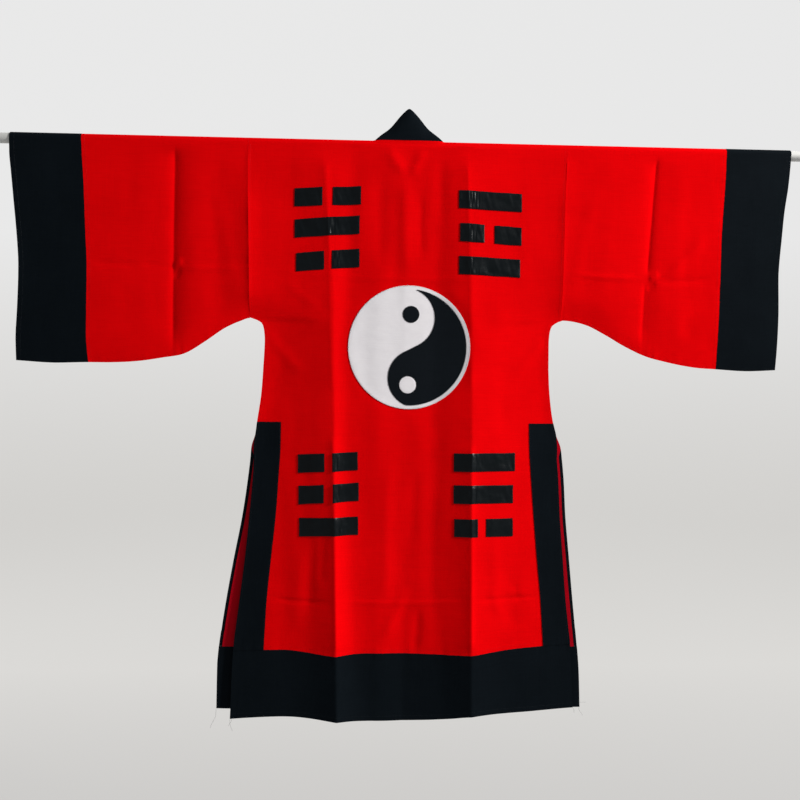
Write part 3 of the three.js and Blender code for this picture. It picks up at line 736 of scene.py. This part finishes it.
def arm_grid(hand, stops, counts):
    """A tube of cloth over the rod, from its lower edge behind, over the rod, to its lower edge in front.
    stops give the distances from the middle of the tube's two ends, and of lines between them."""
    parts = np.linspace(1, 0, 88)
    angles = np.radians(np.linspace(0, 180, 15))[1:-1]
    lowest = foot(hand * columns_between(stops, counts, np.full((1, sum(counts) + 1), BELOW_ARMS)))

    def side(parts, facing):
        down = parts[:, None] * lowest
        return placed(facing, arm, hand * columns_between(stops, counts, down), -down)
    heights = WRAP * np.sin(angles)[:, None] + 0 * lowest
    x = hand * columns_between(stops, counts, -heights)
    over = np.stack([x, -WRAP * np.cos(angles)[:, None] + 0 * lowest, heights], axis=2)
    return np.concatenate([side(parts, -1), over, side(parts[::-1], 1)])


def arm_seams(name):
    """Distances from the middle of a sleeve's armhole seam, cuff seam and cuff's open edge."""
    return (lambda down: along(BACK_SIDES, "down", name, np.minimum(down, ARMHOLE)) + SEAM,
            lambda down: along(CUFFS, "down", f"seam_{name}", down),
            lambda down: along(CUFFS, "down", f"edge_{name}", down))


def make_arm(hand):
    """A sleeve, with columns close together beside its armhole and its long fold, and its cuff."""
    name = hand_name(hand)
    armhole, seam, mouth = arm_seams(name)
    fold = SLEEVE_FOLDS[0 if hand < 0 else 1]
    line = lambda beside: lambda down: hand * fold_x(fold, np.maximum(down, 0)) + beside
    stops = [armhole, lambda down: armhole(down) + 12, *map(line, (-24, -8, 0, 8, 24)), seam]
    sleeve = shell(f"sleeve_{name}", arm_grid(hand, stops, [5, 26, 5, 4, 4, 5, 30]), (0, -1, 0), THIN,
                   [RED, RED_WRONG_SHADED])
    cuff = shell(f"cuff_{name}", arm_grid(hand, [lambda down: seam(down) + SEAM, mouth], [28]),
                 (0, -1, 0), DOUBLE, [BLACK])
    return (replace(sleeve, f"sleeve_{name}_back", f"sleeve_{name}_front"),
            replace(cuff, f"cuff_{name}_back", f"cuff_{name}_front"))


# Lines of the trigrams: x of both ends and of the gap's, depth of the top edge's left end, and its rise
LINES = [
    ("water_1", -276, -116, -209, -184, 109, 8), ("water_2", -275, -119, 0, 0, 184, 12),
    ("water_3", -271, -119, -204, -185, 265, 13), ("fire_1", 121, 276, 0, 0, 107, -5),
    ("fire_2", 124, 276, 184, 209, 187, -7), ("fire_3", 122, 273, 0, 0, 267, -5),
    ("thunder_1", -263, -119, -199, -180, 750, 7), ("thunder_2", -261, -116, -200, -178, 826, 9),
    ("thunder_3", -259, -117, 0, 0, 903, 4), ("wind_1", 113, 265, 0, 0, 745, 1),
    ("wind_2", 113, 260, 0, 0, 822, 0), ("wind_3", 115, 260, 172, 193, 903, 0),
]


def bar_parts():
    """Every bar of the trigrams: its name, its two ends, its top edge's depth at each, and its line's
    number."""
    for number, (line, left, right, gap_from, gap_to, down, rise) in enumerate(LINES):
        fall = lambda x: down - rise * (x - left) / (right - left)
        spans = [("a", left, gap_from), ("b", gap_to, right)] if gap_to else [("a", left, right)]
        for part, start, end in spans:
            yield f"bar_{line}{part}", start, end, fall(start), fall(end), number


def beside_fold(x, down):
    """Distance to the right of the back's pressed fold that crosses a bar, far away where none does, and how
    near the wrinkles beside that fold are."""
    beside, near = np.full(x.shape, FAR), np.zeros(x.shape)
    for start_x, top, end_x, bottom, *_ in BACK_PRESSED[0 if x.mean() < 0 else 1::2]:
        away = x - mix(start_x, end_x, (down - top) / (bottom - top))
        crossed = (down > top + 10) & (down < bottom - 10)
        beside = np.where(crossed, away, beside)
        near = np.where(crossed, np.exp(-((away - 9) / 15) ** 2), near)
    return beside, near


def make_bar(name, left, right, top_left, top_right, seed):
    """One satin bar: a grid between four corners, with its edges a little uneven and turned down. Its height
    over the cloth adds soft waves, small dents along its edges, wrinkles beside the pressed fold, and a thin
    ridge on the fold's own line."""
    across, down = int((right - left) / 1.2), 22
    u, v = np.meshgrid(np.linspace(0, 1, across + 1), np.linspace(0, 1, down + 1))
    x = mix(left, right, u) + 0.4 * noise(v * 40, u, 16, 1, seed) * (2 * np.abs(u - 0.5)) ** 4
    z = -(mix(top_left, top_right, u) + BAR_HEIGHT * v
          + 0.45 * noise(u * (right - left), v, 31, 1, seed + 1) * (2 * np.abs(v - 0.5)) ** 4)
    edge = np.minimum(np.minimum(u, 1 - u) * (right - left), np.minimum(v, 1 - v) * BAR_HEIGHT)
    out = LAID + 0.5 * smooth(edge / 2.5) + 0.45 * noise(x, z, 16, 12, seed + 2) * smooth(edge / 6)
    out = out + 0.7 * noise(x + z * 0.2, z, 34, 60, seed + 4) * smooth(edge / 9)
    out = out + 0.25 * noise(x, z, 5, 5, seed + 3) * smooth(edge / 3) * np.exp(-edge / 6)
    beside, near = beside_fold(x, -z)
    wrinkles = 0.85 * noise(x, z, 3.6, 24, seed + 5) * near
    wrinkles = wrinkles + 0.36 * noise(x + z * 0.3, z, 8, 26, seed + 6)
    out = out + wrinkles * smooth(edge / 5) + 0.5 * np.exp(-np.abs(beside) / 1.2)
    made = shell(f"satin_{name}", placed(-1, body, x, z, out), (0, -1, 0), THIN, [SATIN])
    return replace(made, name)


def make_trigrams():
    return [make_bar(name, *corners, 100 + 7 * number) for name, *corners, number in bar_parts()]


def disc_points(u, v):
    """A square from -1 to 1 pressed into a round of radius 1: each side bows out by the other's square."""
    return u * np.sqrt(1 - v * v / 2), v * np.sqrt(1 - u * u / 2)


def on_back(x, z, level, edge):
    """Points on the back panel at the disc's place, raised by level and domed at the edge."""
    out = LAID + LEVEL * level + 0.4 * smooth(edge / 2.5)
    return placed(-1, body, DISC_X + x * DISC_NARROW, DISC_Z + z, out)


def curve(points, count):
    """Points at even spacing along a line through points."""
    run = np.concatenate([[0], np.cumsum(np.hypot(*np.diff(points, axis=0).T))])
    even = np.linspace(0, run[-1], count)
    return np.stack([np.interp(even, run, points[:, 0]), np.interp(even, run, points[:, 1])], axis=1)


def arc(circle, start, end, count=90):
    """Points round a circle, given as x, z and radius, between two angles in radians."""
    turn = np.linspace(start, end, count)
    return np.stack([circle[0] + circle[2] * np.cos(turn), circle[1] + circle[2] * np.sin(turn)], axis=1)


def disc_s(big):
    """The S: the head's arc from the black half's tip, a straight piece that touches both circles, then
    the foot's arc to its other end."""
    towards = lambda circle, degrees: math.atan2(big * math.sin(math.radians(degrees)) - circle[1],
                                                 big * math.cos(math.radians(degrees)) - circle[0])
    dx, dz = FOOT[0] - HEAD[0], FOOT[1] - HEAD[1]
    tangent = math.atan2(dz, dx) + math.acos((HEAD[2] + FOOT[2]) / math.hypot(dx, dz))
    last = towards(FOOT, HEEL)
    return np.concatenate([arc(HEAD, towards(HEAD, TIP), tangent),
                           arc(FOOT, tangent + math.pi, last + 2 * math.pi if last < 0 else last)])


def round_patch(radius, count):
    """A round's points, and their distance from its edge."""
    side = np.linspace(-1, 1, count)
    u, v = np.meshgrid(side, -side)
    x, z = disc_points(u, v)
    return x * radius, z * radius, radius * (1 - np.hypot(x, z))


def make_disc():
    """The disc: a white round, a black half between its outer arc and the S, and two dots."""
    x, z, edge = round_patch(DISC_RADIUS, 61)
    white = shell("round_white", on_back(x, z, 0, edge), (0, -1, 0), THIN, [WHITE])
    big = DISC_RADIUS - DISC_RIM
    inner = curve(disc_s(big), 120)[:, None]
    outer = curve(arc((0, 0, big), math.radians(TIP), math.radians(HEEL), 300), 120)[:, None]
    share = np.linspace(0, 1, 36)[None, :, None]
    points = mix(inner, outer, share)[1:-1]
    wide = np.linalg.norm(outer - inner, axis=2)[1:-1]
    edge = np.minimum(share[..., 0], 1 - share[..., 0]) * wide
    black = shell("half_black", on_back(points[..., 0], points[..., 1], 1, edge), (0, -1, 0), THIN,
                  [DISC_CLOTH])
    made = [replace(white, "disc_white"), replace(black, "disc_black")]
    for name, look, slot, level in (("dot_black", DISC_CLOTH, "black_cloth", 1),
                                    ("dot_white", WHITE, "white_satin", 2)):
        x, z, edge = round_patch(DOT_RADIUS, 17)
        grid = on_back(x + DOTS[name][0], z + DOTS[name][1], level, edge)
        made.append(replace(shell(f"small_{name}", grid, (0, -1, 0), THIN, [look]), name))
    return made


def lengthwise(points):
    """Distance run along a line at each of its points."""
    return np.concatenate([[0], np.cumsum(np.linalg.norm(np.diff(points, axis=0), axis=1))])


def on_cloth(facing, depth, x, z, out):
    """Points of a line on a layer, and the layer's directions outwards there."""
    x, z = np.broadcast_arrays(np.asarray(x, float), np.asarray(z, float))
    high = lambda dx, dz: depth(facing, x + dx, z + dz)
    normals = np.stack([(high(-1, 0) - high(1, 0)) / 2, np.full(x.shape, float(facing)),
                        (high(0, -1) - high(0, 1)) / 2], axis=1)
    points = np.stack([x, facing * (high(0, 0) + out), z], axis=1)
    return points, normals / np.linalg.norm(normals, axis=1, keepdims=True)


def round_arm_line(x_of, out):
    """A line round a sleeve at the x that x_of gives for a depth, from 8 mm above the lower edge behind,
    over the rod, to the same place in front."""
    lowest = float(foot(x_of(np.array([BELOW_ARMS])))[0]) - 8
    down = np.linspace(lowest, 0, 200)
    back = on_cloth(-1, arm, x_of(down), -down, out)
    front = on_cloth(1, arm, x_of(down[::-1]), -down[::-1], out)
    turn = np.radians(np.linspace(0, 180, 15))[1:-1]
    normals = np.stack([0 * turn, -np.cos(turn), np.sin(turn)], axis=1)
    over = normals * (WRAP + out) + np.stack([x_of(-WRAP * np.sin(turn)), 0 * turn, 0 * turn], axis=1)
    return (np.concatenate([back[0], over, front[0]]), np.concatenate([back[1], normals, front[1]]))


def sewing(name, lines, look, pitch=3.4, length=2.5, thick=0.5, across=0.0, seed=1):
    """Rows of stitches along lines of points: each a small closed spindle, sunk a little into the cloth at
    its ends. With across, each lies across the line at that angle instead of along it."""
    chance = np.random.default_rng(seed)
    centres, tangents, outs = [], [], []
    for points, normals in lines:
        run = lengthwise(points)
        places = np.arange(pitch / 2, run[-1], pitch)
        take = lambda values, where: np.stack([np.interp(where, run, value) for value in values.T], axis=1)
        centres.append(take(points, places))
        tangents.append(take(points, places + 0.8) - take(points, places - 0.8))
        outs.append(take(normals, places))
    centre, tangent, out = (np.concatenate(part) for part in (centres, tangents, outs))
    unit = lambda v: v / (np.linalg.norm(v, axis=1, keepdims=True) + 1e-9)
    out = unit(out)
    tangent = unit(tangent - out * np.sum(tangent * out, axis=1, keepdims=True))
    beside = np.cross(out, tangent)
    count = len(centre)
    angle = across + chance.normal(0, 0.05, (count, 1))
    ahead = tangent * np.cos(angle) + beside * np.sin(angle)
    beside = np.cross(out, ahead)
    long = length * (1 + chance.normal(0, 0.05, (count, 1)))
    wide = thick / 2 * (1 + chance.normal(0, 0.06, (count, 1)))
    corners = np.array([[1, 0], [0, 1], [-1, 0], [0, -1]])
    rings = []
    for part, size, lift in ((-0.5, 0.45, -0.12), (0, 1, 0.12), (0.5, 0.45, -0.12)):
        middle = centre + ahead * long * part + out * lift
        rings.append(middle[:, None] + corners[None, :, :1] * beside[:, None] * (wide * size)[:, None]
                     + corners[None, :, 1:] * out[:, None] * (wide * size)[:, None] * 0.9)
    places = np.concatenate(rings, axis=1).reshape(-1, 3) * MM
    around = [[a + k, a + (k + 1) % 4, a + 4 + (k + 1) % 4, a + 4 + k] for a in (0, 4) for k in range(4)]
    one = np.array(around + [[3, 2, 1, 0], [8, 9, 10, 11]])[:, ::-1]
    faces = (one[None] + 12 * np.arange(count)[:, None, None]).reshape(-1, 4)
    return piece(name, places, faces, [look])


def bar_outline(left, right, top_left, top_right, inset=2.2):
    """A bar's stitched line: round its four corners, a little in from its edge."""
    x = np.array([left + inset, right - inset, right - inset, left + inset, left + inset])
    tops = np.array([top_left, top_right, top_right, top_left, top_left])
    z = -tops - np.array([inset, inset, BAR_HEIGHT - inset, BAR_HEIGHT - inset, inset])
    return curve(np.stack([x, z], axis=1), 220)


def sew_back():
    """The stitching on the back: above the hem, down both sides and armholes, round the bars, and across the
    edges of the disc's cloths."""
    def edge_lines(first, last, count, inset):
        down = np.linspace(first, last, count)
        return [on_cloth(-1, body, hand * (along(BACK_SIDES, "down", hand_name(hand), down) - inset), -down,
                         THIN / 2) for hand in (-1, 1)]
    x = np.linspace(-330, 325, 500)
    hem_line = on_cloth(-1, body, x, -(along(BACK_HEM, "x", "seam", x) - 9), THIN / 2)
    sides, holes = edge_lines(440, BORDER_TOP - 4, 150, 6), edge_lines(4, ARMHOLE - 12, 200, 5)
    red = sewing("stitches_back_red", [hem_line, *sides, *holes], RED_THREAD, seed=3)
    outlines = [bar_outline(*corners) for _, *corners, _ in bar_parts()]
    bars = sewing("stitches_bars", [on_cloth(-1, body, *line.T, LAID + THIN / 2 + 0.4) for line in outlines],
                  BLACK_THREAD, pitch=3.0, length=2.2, seed=4)
    big = DISC_RADIUS - DISC_RIM

    def on_disc(line, level):
        return on_cloth(-1, body, DISC_X + line[:, 0] * DISC_NARROW, DISC_Z + line[:, 1],
                        LAID + LEVEL * level + THIN / 2 + 0.1)

    def around(x, z, radius, count, level):
        return on_disc(arc((x, z, radius), 0, 2 * math.pi, count), level)
    half = np.concatenate([disc_s(big), arc((0, 0, big), math.radians(HEEL), math.radians(TIP), 300)])
    dots = DOT_RADIUS - 0.8
    white = sewing("stitches_disc_white", [around(0, 0, DISC_RADIUS - 1.2, 500, 0),
                                           around(*DOTS["dot_white"], dots, 160, 2)],
                   WHITE_THREAD, pitch=1.3, length=3.4, thick=0.7, across=1.4, seed=5)
    black = sewing("stitches_disc_black", [on_disc(half, 1), around(*DOTS["dot_black"], dots, 160, 1)],
                   BLACK_THREAD, pitch=1.3, length=3.0, thick=0.7, across=1.4, seed=6)
    return [red, bars, white, black]


def sew_borders(facing):
    """The stitching along both edges of a layer's two slit borders."""
    side, down = "back" if facing < 0 else "front", np.linspace(BORDER_TOP + 4, 1205, 300)
    made = []
    for hand in (-1, 1):
        edge, inner = border_edges(facing, hand_name(hand), down)
        lines = [on_cloth(facing, body, hand * away, -down, LAID + THIN / 2)
                 for away in (edge - 4, inner + 3)]
        made.append(sewing(f"stitches_border_{side}_{hand_name(hand)}", lines, BLACK_THREAD,
                           seed=8 + hand))
    return made


def hem_edge(facing, hem, first, last):
    """A line 11 mm above a hem band's lower edge."""
    x = np.linspace(first, last, 400)
    return on_cloth(facing, body, x, -(along(hem, "x", "bottom", x) - 11), DOUBLE / 2)


def sew_arm(hand):
    """The stitching of a sleeve beside its cuff seam and underside, and of its cuff near the opening."""
    name = hand_name(hand)
    _, seam, mouth = arm_seams(name)
    cuff_line = round_arm_line(lambda down: hand * (seam(down) - 8), THIN / 2)
    x = hand * np.linspace(410, 755, 250)
    under = [on_cloth(facing, arm, x, -(foot(x) - 6), THIN / 2) for facing in (-1, 1)]
    red = sewing(f"stitches_sleeve_{name}", [cuff_line, *under], RED_THREAD, seed=20 + hand)
    mouth_line = round_arm_line(lambda down: hand * (mouth(down) - 11), DOUBLE / 2)
    black = sewing(f"stitches_cuff_{name}", [mouth_line], BLACK_THREAD, seed=30 + hand)
    return red, black


def sew_front(hand):
    """The stitching of a front above its hem, and of its collar band along both edges."""
    name = hand_name(hand)
    x = hand * np.linspace(88, 370, 250)
    hem_line = on_cloth(1, body, x, -(along(FRONT_HEM, "x", "seam", x) - 9), THIN / 2)
    red = sewing(f"stitches_front_{name}", [hem_line], RED_THREAD, seed=40 + hand)
    down = np.linspace(2, 1365, 500)
    lines = [on_cloth(1, body, np.full_like(down, hand * place), -down, BAND_OUT + DOUBLE / 2)
             for place in (BAND - 4, FRONT_GAP + 4)]
    band = sewing(f"stitches_band_{name}", lines, BLACK_THREAD, seed=50 + hand)
    hem = sewing(f"stitches_hem_front_{name}", [hem_edge(1, FRONT_HEM, hand * 90, hand * 450)], BLACK_THREAD,
                 seed=60 + hand)
    return red, hem, band


def loose_threads():
    """Thread ends left hanging at the hem's lower corners: thin tubes along paths that drop from a start by
    a power of the way and bend by a wave that grows. Each end has its start, drop and bend."""
    ends = [((-455.5, 0, -1366), (-9, 2, -46), (5, -2)), ((-421, -8.5, -1388), (3, -3, -27), (-3, 1)),
            ((-417, -8.5, -1388), (-6, -2, -15), (2, 2)), ((433, 8, -1372), (5, 2, -22), (-4, 2)),
            ((413, -8, -1369), (6, -2, -12), (2, -2))]
    t = np.linspace(0, 1, 24)[:, None]
    turn = np.radians(np.arange(0, 360, 72))
    places, faces = [], []
    for start, drop, (bend_x, bend_y) in ends:
        path = np.array(start) + t ** 1.2 * np.array(drop)
        path = path + np.sin(t * 5) * np.array([bend_x, bend_y, 0]) * t
        ring = np.stack([np.cos(turn), np.sin(turn), 0 * turn], axis=1) * 0.22
        tube = path[:, None] + ring[None]
        index = np.arange(tube.shape[0] * 5).reshape(-1, 5) + sum(len(part) for part in places)
        beside = np.roll(index, -1, axis=1)
        faces.append(np.stack([index[:-1], index[1:], beside[1:], beside[:-1]], axis=2).reshape(-1, 4))
        places.append(tube.reshape(-1, 3))
    return piece("loose_threads", np.concatenate(places) * MM, np.concatenate(faces), [BLACK_THREAD])


def make_stage():
    """A pale floor that rises into a round backdrop and a roof on every side: a profile of a flat stretch
    and two quarter turns, carried round the upright axis. It glows behind the robe as seen from its back."""
    floor, radius, bend, roof_rise = -2.05, 15.0, 6.0, 8.0
    flat = np.linspace(0.02, radius - bend, 12)
    turn = np.linspace(0, np.pi / 2, 16)
    roof = turn[1:-1]
    out = np.concatenate([flat, radius - bend + bend * np.sin(turn), radius * np.cos(roof)])
    up = np.concatenate([0 * flat, bend * (1 - np.cos(turn)), bend + roof_rise * np.sin(roof)]) + floor
    angle = np.linspace(0, 2 * np.pi, 73)[:-1]
    places = np.stack([out[:, None] * np.cos(angle), out[:, None] * np.sin(angle),
                       up[:, None] + 0 * angle], axis=2)
    index = np.arange(len(out) * len(angle)).reshape(len(out), len(angle))
    beside = np.roll(index, -1, axis=1)
    faces = np.stack([index[:-1], index[1:], beside[1:], beside[:-1]], axis=2).reshape(-1, 4)
    mesh = bpy.data.meshes.new("backdrop")
    mesh.from_pydata(places.reshape(-1, 3).tolist(), [], faces.tolist() + [index[0].tolist()])
    mesh.polygons.foreach_set("use_smooth", np.ones(len(mesh.polygons), bool))
    pale = Finish("pale backdrop")
    parts = pale.node("ShaderNodeSeparateXYZ", inputs={0: pale.coordinates})
    side, depth, height = (Socket(pale, output) for output in parts.outputs)
    behind = (pale.clamped(depth * 0.2 + 0.5) * pale.clamped(2.7 - side.math("ABSOLUTE", side) * 0.2)
              * pale.clamped(2.5 - height * 0.2))
    upper = pale.clamped(height * 0.22 + 0.5)
    lit = pale.blend(upper, (0.56, 0.55, 0.53, 1), (0.74, 0.74, 0.74, 1))
    mesh.materials.append(pale.shade({
        "Base Color": (0.12, 0.12, 0.12, 1), "Roughness": 0.9, "Specular IOR Level": 0.0,
        "Emission Color": pale.blend(behind, (0.225, 0.225, 0.228, 1), lit), "Emission Strength": 1.0}))
    backdrop = bpy.data.objects.new("backdrop", mesh)
    bpy.context.scene.collection.objects.link(backdrop)
    backdrop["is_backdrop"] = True


def area_light(name, place, aim, size, power, colour=(1, 1, 1)):
    """A round light at a place in metres, turned to its aim."""
    data = bpy.data.lights.new(name, "AREA")
    data.shape, data.size, data.energy, data.color = "DISK", size, power, colour
    lamp = bpy.data.objects.new(name, data)
    lamp.location = place
    lamp.rotation_euler = (Vector(aim) - Vector(place)).to_track_quat("-Z", "Y").to_euler()
    bpy.context.scene.collection.objects.link(lamp)


def make_camera():
    """The photograph's view: level, a little left of the robe's middle and turned towards its right side."""
    yaw, roll, distance = math.radians(2.986), math.radians(0.464), 2.093
    middle = Vector((-0.0172, 0, -0.6167))
    ahead = Vector((math.sin(yaw), math.cos(yaw), 0))
    right = Vector((math.cos(yaw), -math.sin(yaw), 0))
    up = Vector((0, 0, 1))
    across = right * math.cos(roll) + up * math.sin(roll)
    above = up * math.cos(roll) - right * math.sin(roll)
    turned = Matrix((across, above, -ahead)).transposed().to_4x4()
    data = bpy.data.cameras.new("camera")
    data.sensor_width, data.angle = 36, math.radians(50)
    camera = bpy.data.objects.new("camera", data)
    camera.matrix_world = Matrix.Translation(middle - ahead * distance) @ turned
    bpy.context.scene.collection.objects.link(camera)
    bpy.context.scene.camera = camera


make_camera()
make_stage()
area_light("window", (5.0, -2.0, 2.1), (0, 0, -0.7), 1.0, 535, (1, 0.99, 0.97))
area_light("behind", (-4.6, 2.1, 2.4), (0, 0, -0.7), 1.2, 175)

# The robe's cloth pieces
back, back_hem = make_back()
bars = make_trigrams()
disc = make_disc()
borders = [make_border(facing, hand) for facing in (-1, 1) for hand in (-1, 1)]
fronts = [make_front(hand) for hand in (-1, 1)]
bands = [make_band(-1), make_band(1), make_back_collar()]
arms = [make_arm(hand) for hand in (-1, 1)]

# Their sewing
back_sewing = sew_back()
border_sewing = sew_borders(-1) + sew_borders(1)
hem_sewing = sewing("stitches_hem_back", [hem_edge(-1, BACK_HEM, -417, 409)], BLACK_THREAD,
                    seed=7)
front_sewing = [sew_front(hand) for hand in (-1, 1)]
arm_sewing = [sew_arm(hand) for hand in (-1, 1)]
threads = loose_threads()

# The rod keeps the frame's own mesh
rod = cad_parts["rod"]
rod.data.materials.clear()
rod.data.materials.append(ROD_LOOK)

bars + disc + back_sewing

scene = bpy.context.scene
scene.view_settings.view_transform = "Standard"
scene.view_settings.look = "None"
scene.view_settings.exposure = 0.0

({"cad": [list(map(float, corner)) for corner in cad_box],
           "visual": [list(map(float, corner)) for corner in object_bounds()]})
